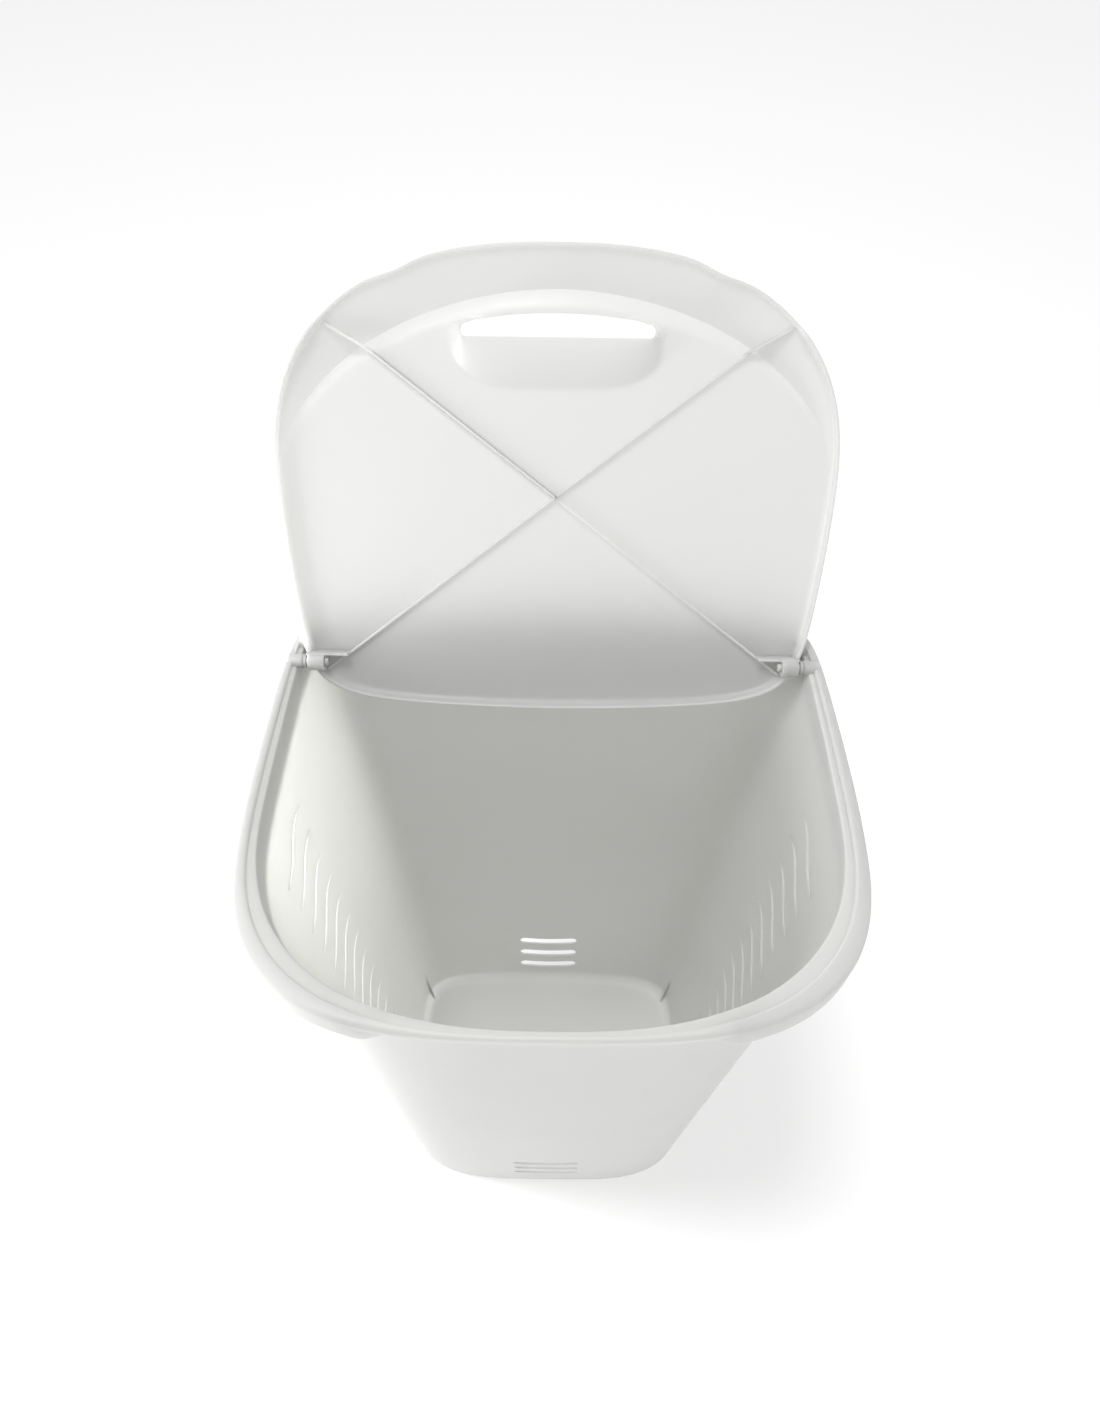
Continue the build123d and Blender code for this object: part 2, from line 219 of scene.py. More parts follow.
def face_outwards(mesh):
    form = bmesh.new()
    form.from_mesh(mesh)
    bmesh.ops.recalc_face_normals(form, faces=form.faces)
    form.to_mesh(mesh)
    form.free()


def sweep(name, rows):
    """A closed skin over rows of equal length, with a fan over the first row and the last."""
    count = len(rows[0])
    vertices = [v for row in rows for v in row]
    faces = []
    for low in range(len(rows) - 1):
        high = low + 1
        for i in range(count):
            j = (i + 1) % count
            faces.append((low * count + i, low * count + j, high * count + j, high * count + i))
    for first, row in ((0, rows[0]), ((len(rows) - 1) * count, rows[-1])):
        vertices.append(sum(row, Vector((0, 0, 0))) / count)
        hub = len(vertices) - 1
        for i in range(count):
            faces.append((hub, first + i, first + (i + 1) % count))
    return make_object(name, vertices, faces)


def prism(name, outline, direction):
    """A closed prism: a planar loop of points and the vector that it is driven along."""
    count = len(outline)
    near = [Vector(p) for p in outline]
    far = [p + Vector(direction) for p in near]
    faces = [tuple(range(count)), tuple(range(2 * count - 1, count - 1, -1))]
    for i in range(count):
        j = (i + 1) % count
        faces.append((i, j, count + j, count + i))
    return make_object(name, near + far, faces)


def rod(name, profile, y, z, sides=48):
    """A turned form along X through (y, z). The profile is a list of (x, radius)."""
    rows = []
    for x, radius in profile:
        turns = [2 * math.pi * i / sides for i in range(sides)]
        rows.append([Vector((x, y + radius * math.cos(t), z + radius * math.sin(t))) for t in turns])
    return sweep(name, rows)


def join(pieces):
    """One object out of several."""
    form = bmesh.new()
    for piece in pieces:
        form.from_mesh(piece.data)
    kept = pieces[0]
    form.to_mesh(kept.data)
    form.free()
    for piece in pieces[1:]:
        bpy.data.objects.remove(piece)
    return kept


def combine(target, tools, operation):
    """Joins the tools to the target, or cuts them from it, as solids."""
    tool = join(tools)
    step = target.modifiers.new("combine", "BOOLEAN")
    step.operation = operation
    step.solver = "EXACT"
    step.object = tool
    result = target.evaluated_get(bpy.context.evaluated_depsgraph_get())
    mesh = bpy.data.meshes.new_from_object(result)
    target.modifiers.clear()
    target.data = mesh
    bpy.data.objects.remove(tool)


def finish_mesh(obj, angle=32):
    """Merges coincident points and shades smooth, with true edges kept sharp."""
    form = bmesh.new()
    form.from_mesh(obj.data)
    bmesh.ops.remove_doubles(form, verts=form.verts, dist=2e-6)
    bmesh.ops.dissolve_degenerate(form, edges=form.edges, dist=1e-6)
    form.to_mesh(obj.data)
    form.free()
    mesh = obj.data
    mesh.polygons.foreach_set("use_smooth", [True] * len(mesh.polygons))
    mesh.set_sharp_from_angle(angle=math.radians(angle))
    mesh.update()


# ---------------------------------------------------------------- basket


def wall_point(angle, z, inset):
    """A point on the tapering wall, which runs straight from the base outline to the top one."""
    share = z / LEDGE_Z
    base = BASE_OUTER.point(angle, inset)
    top = WALL_TOP_OUTER.point(angle, inset)
    p = base.lerp(top, share)
    return Vector((p.x, p.y, z))


def along_section(start, end, distance, z):
    """The point that distance on from start towards end in plan, at height z."""
    p = start + (end - start).normalized() * distance
    return Vector((p.x, p.y, z))


class RimSection:
    """The rim's section at one angle: u runs outwards in plan from the wall's outer face."""

    def __init__(self, angle):
        self.inner = WALL_TOP_OUTER.point(angle, WALL)
        self.wall = WALL_TOP_OUTER.point(angle)
        self.rim = RIM_OUTER.point(angle)
        step = LEDGE_STEP.point(angle)
        self.width = (self.rim - self.wall).length
        outwards = (self.rim - self.wall).normalized()
        self.step_u = (step - self.wall).dot(outwards)
        self.inner_u = -(self.wall - self.inner).length
        x, y = abs(self.rim.x), self.rim.y
        front = y < 0
        # 0 at the sides and back, 1 across the front
        self.scoop = smooth((SCOOP_OUTER_X - x) / (SCOOP_OUTER_X - SCOOP_INNER_X)) if front else 0.0
        self.fade = smooth((LEDGE_FADE_FROM_Y - step.y) / (LEDGE_FADE_FROM_Y - LEDGE_FADE_TO_Y))

    def at(self, u, z):
        return along_section(self.wall, self.rim, u, z)

    def upper(self):
        """From the mouth's inner edge over the ledge, the step and the lip to its outer face."""
        points = []
        mouth_round = 0.0012
        ledge_z = mix(LEDGE_Z, RIM_TOP_Z - 0.0010, self.fade)
        for turn in (0, 30, 60, 90):
            t = math.radians(turn)
            u = self.inner_u + mouth_round * (1 - math.cos(t))
            points.append(self.at(u, ledge_z - mouth_round * (1 - math.sin(t))))
        corner = mix(0.0008, 0.0004, self.fade)
        for turn in (0, 45, 90):
            t = math.radians(turn)
            u = self.step_u - corner * (1 - math.sin(t))
            points.append(self.at(u, ledge_z + corner * (1 - math.cos(t)) * (1 - self.fade)))
        span = self.width - self.step_u
        inner_round = min(0.0020, 0.35 * span)
        outer_round = min(0.0042, 0.62 * span)
        low = max(RIM_TOP_Z - inner_round, points[-1].z)
        for turn in (0, 22.5, 45, 67.5, 90):
            t = math.radians(turn)
            u = self.step_u + inner_round * (1 - math.cos(t))
            points.append(self.at(u, low + (RIM_TOP_Z - low) * math.sin(t)))
        for turn in (0, 15, 30, 45, 60, 75, 90):
            t = math.radians(turn)
            u = self.width - outer_round * (1 - math.sin(t))
            points.append(self.at(u, RIM_TOP_Z - outer_round * (1 - math.cos(t))))
        return points

    def lower(self):
        """From the lip's outer face down the skirt, round its edge and up to the wall."""
        points = []
        lip_z = RIM_TOP_Z - LIP_DEPTH
        edge = 0.0011
        recess = self.scoop * (self.width - 0.0006)
        for turn in (0, 30, 60, 90):
            t = math.radians(turn)
            u = self.width - min(edge, recess) * (1 - math.cos(t))
            points.append(self.at(u, lip_z + edge * (1 - math.sin(t))))
        bottom_z = mix(RIM_TOP_Z - SKIRT_DEPTH, lip_z - 0.0006, self.scoop)
        skirt_u = self.width - recess
        top_z = mix(lip_z - edge, lip_z - 0.0001, self.scoop)
        points.append(self.at(mix(self.width, skirt_u, 0.75), lip_z - 0.00005))
        end_z = mix(bottom_z + 0.0012, bottom_z + 0.0002, self.scoop)
        for share in (0, 0.12, 0.3, 0.5, 0.7, 0.88, 1):
            points.append(self.at(skirt_u, mix(top_z, end_z, share)))
        thick = min(WALL, 0.8 * max(skirt_u, 0.0003))
        for turn in (30, 60, 90, 120, 150, 180):
            t = math.radians(turn)
            u = skirt_u - thick / 2 * (1 - math.cos(t))
            points.append(self.at(u, end_z - (end_z - bottom_z) * math.sin(t)))
        inner_u = skirt_u - thick
        block_u = min(self.step_u + WALL, 0.9 * inner_u)
        open_share = smooth((inner_u - block_u - 0.0008) / 0.002)
        groove_z = mix(bottom_z + 0.0003, RIM_TOP_Z - WALL, open_share)
        for share in (0.2, 0.5, 0.85):
            points.append(self.at(inner_u, mix(end_z, groove_z, share)))
        for share in (0.12, 0.88):
            points.append(self.at(mix(inner_u, block_u, share), groove_z))
        block_z = min(LEDGE_Z - WALL, groove_z - 0.00005)
        points.append(self.at(block_u, mix(groove_z, block_z, 0.5)))
        points.append(self.at(block_u * 0.9, block_z))
        points.append(self.at(block_u * 0.4, block_z - 0.0001))
        return points, block_z


def basket_skin():
    columns = []
    floor_round = BASE_FILLET - WALL
    wall_rows = 26
    for angle in ANGLES:
        column = []
        middle = Vector((0, BASE_OUTER.middle, 0))
        foot = wall_point(angle, WALL, WALL + floor_round)
        for share in (0.1, 0.3, 0.5, 0.7, 0.85, 0.95):
            p = middle.lerp(foot, share)
            column.append(Vector((p.x, p.y, WALL)))
        for turn in range(0, 91, 9):
            t = math.radians(turn)
            z = WALL + floor_round * (1 - math.cos(t))
            column.append(wall_point(angle, z, WALL + floor_round * (1 - math.sin(t))))
        section = RimSection(angle)
        upper = section.upper()
        for i in range(1, wall_rows):
            z = mix(BASE_FILLET, upper[0].z, i / wall_rows)
            column.append(wall_point(angle, z, WALL))
        column += upper
        lower, under_z = section.lower()
        column += lower
        for i in range(wall_rows):
            z = mix(under_z - 0.0012, BASE_FILLET, i / (wall_rows - 1))
            column.append(wall_point(angle, z, 0))
        for turn in range(81, -1, -9):
            t = math.radians(turn)
            z = BASE_FILLET * (1 - math.cos(t))
            column.append(wall_point(angle, z, BASE_FILLET * (1 - math.sin(t))))
        foot = wall_point(angle, 0, BASE_FILLET)
        for share in (0.9, 0.6, 0.3, 0.1):
            column.append(middle.lerp(foot, share))
        columns.append(column)
    rows = [[column[k] for column in columns] for k in range(len(columns[0]))]
    return sweep("hamper_basket", rows)


def vent_cutter(index, side):
    """A wavy slit that tapers to both ends, driven sideways through one side wall."""
    rear_y = VENT_REAR_Y + VENT_SHIFT_Y * index
    rear_z = VENT_TOP_Z - VENT_PITCH * index
    tip = 0.0003
    steps = 28
    upper = []
    lower = []
    for i in range(steps + 1):
        share = i / steps
        y = rear_y - VENT_LENGTH * share
        z = rear_z - VENT_DROP * share + VENT_WAVE * math.sin(2 * math.pi * share)
        half = tip + (VENT_WIDTH / 2 - tip) * math.sin(math.pi * share) ** 0.8
        upper.append((side * 0.09, y, z + half))
        lower.append((side * 0.09, y, z - half))
    return prism("cutter", upper + lower[::-1], (side * 0.16, 0, 0))


def low_slot_cutter(z, facing):
    """A rounded slot that sags in its middle, driven through the front or the back wall."""
    half_run = (LOW_SLOT_LENGTH - LOW_SLOT_WIDTH) / 2
    radius = LOW_SLOT_WIDTH / 2
    steps = 12
    points = []
    for side in (1, -1):
        for i in range(steps + 1):
            x = side * half_run * (2 * i / steps - 1)
            sag = LOW_SLOT_SAG * (0.5 - (1 - (x / half_run) ** 2))
            points.append((x, z + sag - side * radius))
        for i in range(1, steps):
            t = -math.pi / 2 + math.pi * i / steps
            x = side * (half_run + radius * math.cos(t))
            points.append((x, z + LOW_SLOT_SAG / 2 + side * radius * math.sin(t)))
    near_y = facing * 0.09
    return prism("cutter", [(x, near_y, height) for x, height in points], (0, facing * 0.12, 0))


def gusset(side):
    """The thin web in a rear corner of the floor."""
    foot = Vector((side * GUSSET_FOOT[0], GUSSET_FOOT[1], 0))
    along = Vector((side * GUSSET_DIRECTION[0], GUSSET_DIRECTION[1], 0)).normalized()
    across = Vector((along.y, -along.x, 0)) * GUSSET_THICKNESS
    # Its outer side follows the middle of the wall, up from the rounded foot.
    section = [(0, 0.00125), (0.0010, 0.00125), (0.0044, 0.004), (0.0093, 0.008), (0.0116, 0.013)]
    section += [(0.0126, 0.020), (0.0142, 0.030), (0.0166, 0.045), (0.0190, 0.060), (0.0180, 0.060)]
    outline = [foot + along * a + Vector((0, 0, z)) - across / 2 for a, z in section]
    return prism("web", outline, across)


def ear(side):
    """The boss that holds a pin, with a rounded outer end."""
    profile = [(side * EAR_FROM_X, EAR_R - 0.0006), (side * (EAR_FROM_X + 0.0006), EAR_R)]
    profile += [(side * (EAR_TO_X - 0.001), EAR_R), (side * EAR_TO_X, EAR_R - 0.001)]
    return rod("ear", profile, HINGE_Y, HINGE_Z)


def horn(side):
    """The stop behind an ear, whose face lies along the open lid."""
    lean = math.pi - OPEN_ANGLE
    along = Vector((0, math.cos(lean), math.sin(lean)))
    normal = Vector((0, math.sin(lean), -math.cos(lean)))
    hinge = Vector((side * HORN_FROM_X, HINGE_Y, HINGE_Z))
    face = hinge + normal * (PANEL_TOP + HORN_GAP)
    near = face + along * HORN_NEAR
    far = face + along * HORN_FAR
    root_z = HINGE_Z + HORN_ROOT
    tip = far + Vector((0, 0.0065, -0.003))
    outline = [near, face + along * HORN_ROUND_FROM, far + Vector((0, 0.0015, 0.0004)), tip]
    outline += [Vector((tip.x, tip.y + 0.0005, root_z)), Vector((near.x, near.y, root_z))]
    return prism("horn", outline, (side * HORN_WIDTH, 0, 0))


def make_basket():
    basket = basket_skin()
    added = [part(side) for part in (ear, horn, gusset) for side in (1, -1)]
    for piece in added:
        combine(basket, [piece], "UNION")
    cutters = [vent_cutter(i, side) for i in range(VENT_COUNT) for side in (1, -1)]
    for i in range(LOW_SLOT_COUNT):
        cutters.append(low_slot_cutter(BACK_SLOT_Z + LOW_SLOT_PITCH * i, 1))
        cutters.append(low_slot_cutter(FRONT_SLOT_Z + LOW_SLOT_PITCH * i, -1))
    for side in (1, -1):
        bore = [(side * (EAR_FROM_X - 0.001), PIN_R), (side * PIN_OUTER_X, PIN_R)]
        cutters.append(rod("cutter", bore, HINGE_Y, HINGE_Z))
    combine(basket, cutters, "DIFFERENCE")
    finish_mesh(basket)
    return basket


# ---------------------------------------------------------------- lid


def lid_space(x, s, h):
    """A point of the closed lid: x, s forward from the hinge axis and h up from it."""
    return Vector((x, HINGE_Y - s, HINGE_Z + h))


class LidSection:
    """The lid along one ray from its middle: radii of its edge, crease and riser."""

    def __init__(self, angle):
        edge = LID_OUTER.point(angle)
        inner = LID_OUTER.point(angle, WALL)
        self.centre = Vector((0, LID_OUTER.middle))
        ray = edge - self.centre
        self.radius = ray.length
        self.ray = ray.normalized()
        self.forward = max(-self.ray.y, 0.0)
        dip = SHOULDER_DIP * math.exp(-(((abs(edge.x) - SHOULDER_X) / SHOULDER_WIDTH) ** 2))
        if edge.y < 0:
            self.radius -= dip
        self.slant = (edge - inner).length / WALL
        across = abs(self.ray.x / CREASE_HALF_WIDTH) ** CREASE_POWER
        along = abs(self.ray.y / CREASE_REACH) ** CREASE_POWER
        ring = (across + along) ** (-1 / CREASE_POWER)
        plain = self.radius - (PANEL_TOP - EDGE_TOP) / (CREST_TOP - EDGE_TOP) * VISOR_RUN
        self.crease = min(ring, plain) if self.ray.y < 0 else plain
        rise = (self.radius - self.crease) / VISOR_RUN
        self.crest = mix(EDGE_TOP, CREST_TOP, clamp(rise))
        self.riser = self.crease - mix(0.0008, RISER_RUN, self.forward**0.55)
        s = HINGE_Y - edge.y
        self.edge_low = LIFT * smooth((s - LIFT_FROM_S) / LIFT_RUN)
        # 0 along the visor, 1 at the sides of the panel and behind it
        self.tail = smooth((self.ray.y + 0.15) / 0.3)

    def plan(self, radius):
        return self.centre + self.ray * radius

    def at(self, radius, h):
        p = self.plan(radius)
        return Vector((p.x, p.y, HINGE_Z + h))

    def skin(self, radius):
        """Height of the lid's upper face."""
        if radius > self.crease:
            share = (self.radius - radius) / (self.radius - self.crease)
            return mix(EDGE_TOP, self.crest, share)
        if radius > self.riser:
            share = (radius - self.riser) / (self.crease - self.riser)
            return mix(PANEL_TOP, self.crest, share**1.7)
        p = self.plan(radius)
        return PANEL_TOP - pocket_depth(p.x, HINGE_Y - p.y)


def pocket_depth(x, s):
    """How far the panel dips, towards the handle slot, in the finger pocket."""
    reach = SLOT_REAR - POCKET_REAR
    if s > SLOT_REAR:
        run = 1 - smooth((s - SLOT_REAR - 0.002) / 0.012)
        wide = POCKET_HALF_WIDTH - 0.001
    else:
        run = 1.0
        wide = POCKET_HALF_WIDTH
    across = abs(x) / wide
    if across >= 1:
        return 0.0
    back_s = SLOT_REAR - reach * math.sqrt(1 - across**4)
    ramp = clamp((s - back_s) / (SLOT_REAR - 0.006 - POCKET_REAR)) if s <= SLOT_REAR else 1.0
    ramp = 1 - (1 - ramp) ** 1.5
    side = smooth((wide - abs(x)) / 0.009)
    return POCKET_DEPTH * ramp * side * run


def lid_skin():
    columns = []
    for angle in ANGLES:
        sec = LidSection(angle)
        column = []
        radii = [sec.riser * i / 60 for i in range(2, 60)]
        for share in (0, 0.15, 0.3, 0.45, 0.6, 0.75, 0.88, 1):
            radii.append(mix(sec.riser, sec.crease, share))
        edge_round = 0.0020
        for share in (0.04, 0.2, 0.4, 0.6, 0.8, 0.95):
            radii.append(mix(sec.crease, sec.radius - edge_round - 0.0002, share))
        for radius in radii:
            column.append(sec.at(radius, sec.skin(radius)))
        top = sec.skin(sec.radius - edge_round)
        for turn in range(0, 91, 15):
            t = math.radians(turn)
            radius = sec.radius - edge_round * (1 - math.sin(t))
            column.append(sec.at(radius, top - edge_round * (1 - math.cos(t))))
        low = sec.edge_low
        small = 0.0009
        thick = WALL * sec.slant
        inner = sec.radius - thick
        column.append(sec.at(sec.radius, mix(top - edge_round, low + small, 0.5)))
        for turn in range(0, 91, 30):
            t = math.radians(turn)
            column.append(sec.at(sec.radius - small * (1 - math.cos(t)), low + small * (1 - math.sin(t))))
        for turn in range(90, -1, -30):
            t = math.radians(turn)
            column.append(sec.at(inner + small * (1 - math.cos(t)), low + small * (1 - math.sin(t))))
        bend = mix(0.0014, 0.0060, sec.tail)
        under = [r for r in radii if r < inner - bend - 0.0004]
        while len(under) < len(radii):
            under.append(mix(under[-1], inner - bend, 0.5))
        ceiling = sec.skin(inner - bend) - WALL
        for turn in range(90, -1, -15):
            t = math.radians(turn)
            radius = inner - bend * (1 - math.sin(t))
            column.append(sec.at(radius, ceiling - bend * (1 - math.cos(t))))
        for radius in reversed(under):
            column.append(sec.at(radius, sec.skin(radius) - WALL))
        columns.append(column)
    rows = [[column[k] for column in columns] for k in range(len(columns[0]))]
    return sweep("hamper_lid", rows)


def rib_section(low, high):
    """A rib's section, as (across, up), with its lower corners cut back."""
    half = RIB_WIDTH / 2
    section = [(-half, high), (-half, low + RIB_EDGE), (-half + RIB_EDGE, low)]
    return section + [(half - RIB_EDGE, low), (half, low + RIB_EDGE), (half, high)]


def rib(start, end, high):
    """A thin upright bar below the lid's skin, from (x, s) to (x, s)."""
    a = Vector((start[0], HINGE_Y - start[1], 0))
    b = Vector((end[0], HINGE_Y - end[1], 0))
    along = (b - a).normalized()
    across = Vector((-along.y, along.x, 0))
    outline = [a + across * u + Vector((0, 0, HINGE_Z + h)) for u, h in rib_section(RIB_LOW, high)]
    return prism("rib", outline, b - a)


def cross_wall(side):
    """The short wall that closes the lid's rear corner off, by the pin."""
    section = rib_section(CORNER_WALL_LOW, EDGE_TOP)
    outline = [lid_space(side * CORNER_WALL_FROM_X, CORNER_WALL_S + u, h) for u, h in section]
    return prism("rib", outline, (side * CORNER_WALL_LENGTH, 0, 0))


def lug(side):
    """The deep corner of the lid that the pin runs in."""
    steps = 28
    outline = []
    for i in range(steps + 1):
        t = math.pi + math.pi * i / steps
        outline.append((LUG_R * math.cos(t), LUG_R * math.sin(t)))
    outline += [(LUG_R, 0.0092), (-LUG_R, 0.0092)]
    points = [lid_space(side * LUG_FROM_X, s, h) for s, h in outline]
    return prism("lug", points, (side * (LUG_TO_X - LUG_FROM_X), 0, 0))


def gate_mark():
    """The small round moulding mark below the panel, just in front of the ribs' crossing."""
    turns = [2 * math.pi * i / 32 for i in range(32)]
    circle = [(GATE_R * math.cos(t), GATE_S + GATE_R * math.sin(t)) for t in turns]
    low = PANEL_TOP - WALL - 0.0003
    return prism("mark", [lid_space(x, s, low) for x, s in circle], (0, 0, 0.001))


def slot_cutter():
    """The handle slot: a straight rear edge, an arched front one and rounded corners."""
    corner_x = SLOT_HALF_WIDTH - SLOT_CORNER
    rear_s = SLOT_REAR + SLOT_CORNER
    front_s = SLOT_FRONT - SLOT_ARCH - SLOT_CORNER
    steps = 8
    right = []
    for i in range(steps + 1):
        t = -math.pi / 2 + (math.pi / 2) * i / steps
        right.append((corner_x + SLOT_CORNER * math.cos(t), rear_s + SLOT_CORNER * math.sin(t)))
    for i in range(steps + 1):
        t = (math.pi / 2) * i / steps
        right.append((corner_x + SLOT_CORNER * math.cos(t), front_s + SLOT_CORNER * math.sin(t)))
    for i in range(1, 12):
        x = corner_x * (1 - i / 12)
        right.append((x, SLOT_FRONT - SLOT_ARCH * (x / SLOT_HALF_WIDTH) ** 2))
    left = [(-x, s) for x, s in reversed(right)]
    outline = right + [(0, SLOT_FRONT)] + left
    return prism("cutter", [lid_space(x, s, -0.010) for x, s in outline], (0, 0, 0.04))


def open_lid(obj):
    """Turns the closed lid to the open rest pose, about the hinge axis."""
    hinge = Vector((0, HINGE_Y, HINGE_Z))
    turn = Matrix.Translation(hinge) @ Matrix.Rotation(-OPEN_ANGLE, 4, "X") @ Matrix.Translation(-hinge)
    obj.data.transform(turn)


def make_lid():
    lid = lid_skin()
    panel_high = PANEL_TOP - WALL / 2
    added = [gate_mark()]
    for side in (1, -1):
        knee = (side * RIB_KNEE[0], RIB_KNEE[1])
        visor_start = (side * VISOR_RIB_START[0], VISOR_RIB_START[1])
        visor_end = (side * VISOR_RIB_END[0], VISOR_RIB_END[1])
        rear_end = (side * RIB_REAR_END[0], RIB_REAR_END[1])
        added.append(rib(RIB_CROSSING, knee, panel_high))
        added.append(rib(visor_start, visor_end, VISOR_RIB_HIGH))
        added.append(rib(RIB_CROSSING, rear_end, panel_high))
        added.append(cross_wall(side))
        added.append(lug(side))
    for piece in added:
        combine(lid, [piece], "UNION")
    cutters = [slot_cutter()]
    radius = PIN_R + BORE_CLEARANCE
    for side in (1, -1):
        bore = [(side * (LUG_FROM_X - 0.001), radius), (side * (LUG_TO_X + 0.001), radius)]
        cutters.append(rod("cutter", bore, HINGE_Y, HINGE_Z))
    combine(lid, cutters, "DIFFERENCE")
    finish_mesh(lid)
    open_lid(lid)
    return lid


# ---------------------------------------------------------------- hinge pins


def make_pin(name, side):
    """A turned pin with domed ends and a rounded collar."""
    dome = 0.0008
    profile = [(PIN_INNER_X, PIN_R - dome)]
    for turn in (30, 60, 90):
        t = math.radians(turn)
        profile.append((PIN_INNER_X + dome * (1 - math.cos(t)), PIN_R - dome * (1 - math.sin(t))))
    profile += [(COLLAR_FROM_X - 0.0001, PIN_R), (COLLAR_FROM_X, PIN_R + 0.0002)]
    profile += [(COLLAR_FROM_X, COLLAR_R - 0.0005), (COLLAR_FROM_X + 0.0005, COLLAR_R)]
    profile += [(EAR_FROM_X - 0.0005, COLLAR_R), (EAR_FROM_X, COLLAR_R - 0.0005)]
    profile += [(EAR_FROM_X, PIN_R), (PIN_OUTER_X - dome, PIN_R), (PIN_OUTER_X, PIN_R - dome)]
    pin = rod(name, [(side * x, radius) for x, radius in profile], HINGE_Y, HINGE_Z)
    finish_mesh(pin)
    return pin


# ---------------------------------------------------------------- materials


def moulded_plastic(name, tone, roughness, subsurface, depth):
    """Off-white moulded plastic. Light enters it to about the given depth in metres."""
    material = bpy.data.materials.new(name)
    material.use_nodes = True
    nodes, links = material.node_tree.nodes, material.node_tree.links
    shader = nodes["Principled BSDF"]
    shader.inputs["IOR"].default_value = 1.49
    shader.inputs["Subsurface Weight"].default_value = subsurface
    shader.inputs["Subsurface Radius"].default_value = (1.0, 1.0, 0.96)
    shader.inputs["Subsurface Scale"].default_value = depth
    place = nodes.new("ShaderNodeTexCoord")

    def noise(scale, detail, rough=0.5):
        node = nodes.new("ShaderNodeTexNoise")
        node.inputs["Scale"].default_value = scale
        node.inputs["Detail"].default_value = detail
        node.inputs["Roughness"].default_value = rough
        links.new(place.outputs["Object"], node.inputs["Vector"])
        return node

    cloud = noise(9.0, 3.0)
    tint = nodes.new("ShaderNodeValToRGB")
    tint.color_ramp.elements[0].position = 0.35
    tint.color_ramp.elements[1].position = 0.65
    tint.color_ramp.elements[0].color = (tone[0] * 0.985, tone[1] * 0.985, tone[2] * 0.98, 1)
    tint.color_ramp.elements[1].color = (tone[0], tone[1], tone[2], 1)
    links.new(cloud.outputs["Fac"], tint.inputs["Fac"])
    links.new(tint.outputs["Color"], shader.inputs["Base Color"])

    patch = noise(60.0, 4.0, 0.6)
    gloss = nodes.new("ShaderNodeMapRange")
    gloss.inputs["To Min"].default_value = roughness - 0.05
    gloss.inputs["To Max"].default_value = roughness + 0.05
    links.new(patch.outputs["Fac"], gloss.inputs["Value"])
    links.new(gloss.outputs["Result"], shader.inputs["Roughness"])

    grain = noise(1600.0, 2.0)
    fine = nodes.new("ShaderNodeBump")
    fine.inputs["Strength"].default_value = 0.10
    fine.inputs["Distance"].default_value = 0.0001
    links.new(grain.outputs["Fac"], fine.inputs["Height"])
    flow = noise(22.0, 1.0)
    broad = nodes.new("ShaderNodeBump")
    broad.inputs["Strength"].default_value = 0.12
    broad.inputs["Distance"].default_value = 0.0010
    links.new(flow.outputs["Fac"], broad.inputs["Height"])
    links.new(fine.outputs["Normal"], broad.inputs["Normal"])
    links.new(broad.outputs["Normal"], shader.inputs["Normal"])
    return material


def set_material(obj, material):
    obj.data.materials.clear()
    obj.data.materials.append(material)


# ---------------------------------------------------------------- stage, light, camera


def make_stage():
    size = 6.0
    corners = [(-size, -size, 0), (size, -size, 0), (size, size, 0), (-size, size, 0)]
    floor = make_object("floor", corners, [(0, 1, 2, 3)])
    floor.location.z = -0.0002
    material = bpy.data.materials.new("floor_white")
    material.use_nodes = True
    shader = material.node_tree.nodes["Principled BSDF"]
    shader.inputs["Base Color"].default_value = (0.94, 0.94, 0.94, 1)
    shader.inputs["Roughness"].default_value = 0.9
    shader.inputs["Emission Color"].default_value = (1, 1, 1, 1)
    shader.inputs["Emission Strength"].default_value = 0.32
    set_material(floor, material)


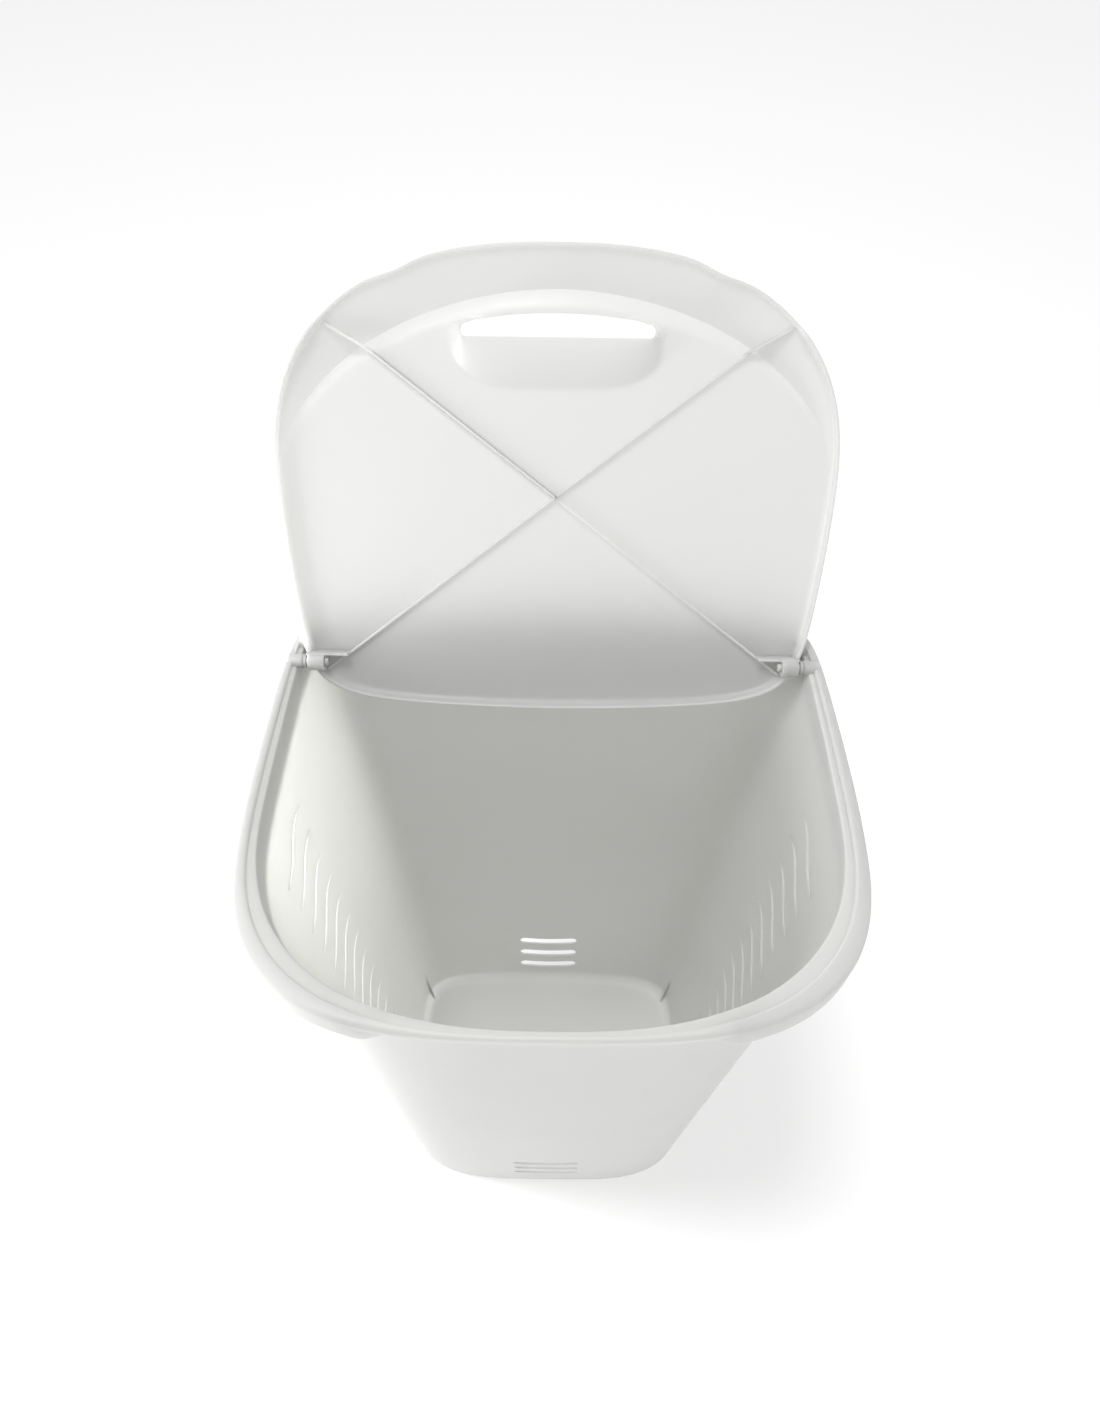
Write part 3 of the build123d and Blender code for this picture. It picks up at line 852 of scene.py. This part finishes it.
def area_light(name, place, aim, size, power):
    light = bpy.data.lights.new(name, "AREA")
    light.shape = "DISK"
    light.size = size
    light.energy = power
    obj = bpy.data.objects.new(name, light)
    bpy.context.scene.collection.objects.link(obj)
    obj.location = place
    direction = Vector(aim) - Vector(place)
    obj.rotation_euler = direction.to_track_quat("-Z", "Y").to_euler()


def make_light():
    world = bpy.data.worlds.new("studio")
    world.use_nodes = True
    background = world.node_tree.nodes["Background"]
    background.inputs["Color"].default_value = (1, 1, 1, 1)
    background.inputs["Strength"].default_value = 0.53
    bpy.context.scene.world = world
    area_light("soft_left", (-0.65, 0.0, 0.60), (0, 0, 0.50), 0.3, 4.4)
    area_light("soft_above", (-0.5, 0.1, 4.0), (0, 0, 0), 1.0, 46)
    bpy.context.scene.view_settings.view_transform = "Standard"


def make_camera():
    data = bpy.data.cameras.new("camera")
    data.sensor_width = 36.0
    data.lens = 25.76
    camera = bpy.data.objects.new("camera", data)
    bpy.context.scene.collection.objects.link(camera)
    place = (-0.002, -0.3686, 1.2608)
    look_down = math.radians(54.19)
    roll = math.radians(0.8)
    camera.matrix_world = (
        Matrix.Translation(place)
        @ Matrix.Rotation(math.pi / 2 - look_down, 4, "X")
        @ Matrix.Rotation(roll, 4, "Z")
    )
    bpy.context.scene.camera = camera


# ---------------------------------------------------------------- assembly

basket_plastic = moulded_plastic("basket_plastic", (0.71, 0.71, 0.695), 0.42, 1.0, 0.011)
# The lid's tone is set darker than the basket's as painted shade: it stands in for the lesser light that
# falls on the open lid.
lid_plastic = moulded_plastic("lid_plastic", (0.67, 0.67, 0.655), 0.42, 1.0, 0.018)
pin_plastic = moulded_plastic("pin_plastic", (0.62, 0.62, 0.60), 0.36, 0.6, 0.004)

basket = make_basket()
set_material(basket, basket_plastic)
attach(basket, "basket_body")
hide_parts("basket")

lid = make_lid()
set_material(lid, lid_plastic)
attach(lid, "lid_body")
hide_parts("lid")

for pin_name, pin_side in (("left_hinge_pin", -1), ("right_hinge_pin", 1)):
    pin = make_pin("turned_" + pin_name, pin_side)
    set_material(pin, pin_plastic)
    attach(pin, "basket_body")
    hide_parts(pin_name)

make_stage()
make_light()
make_camera()
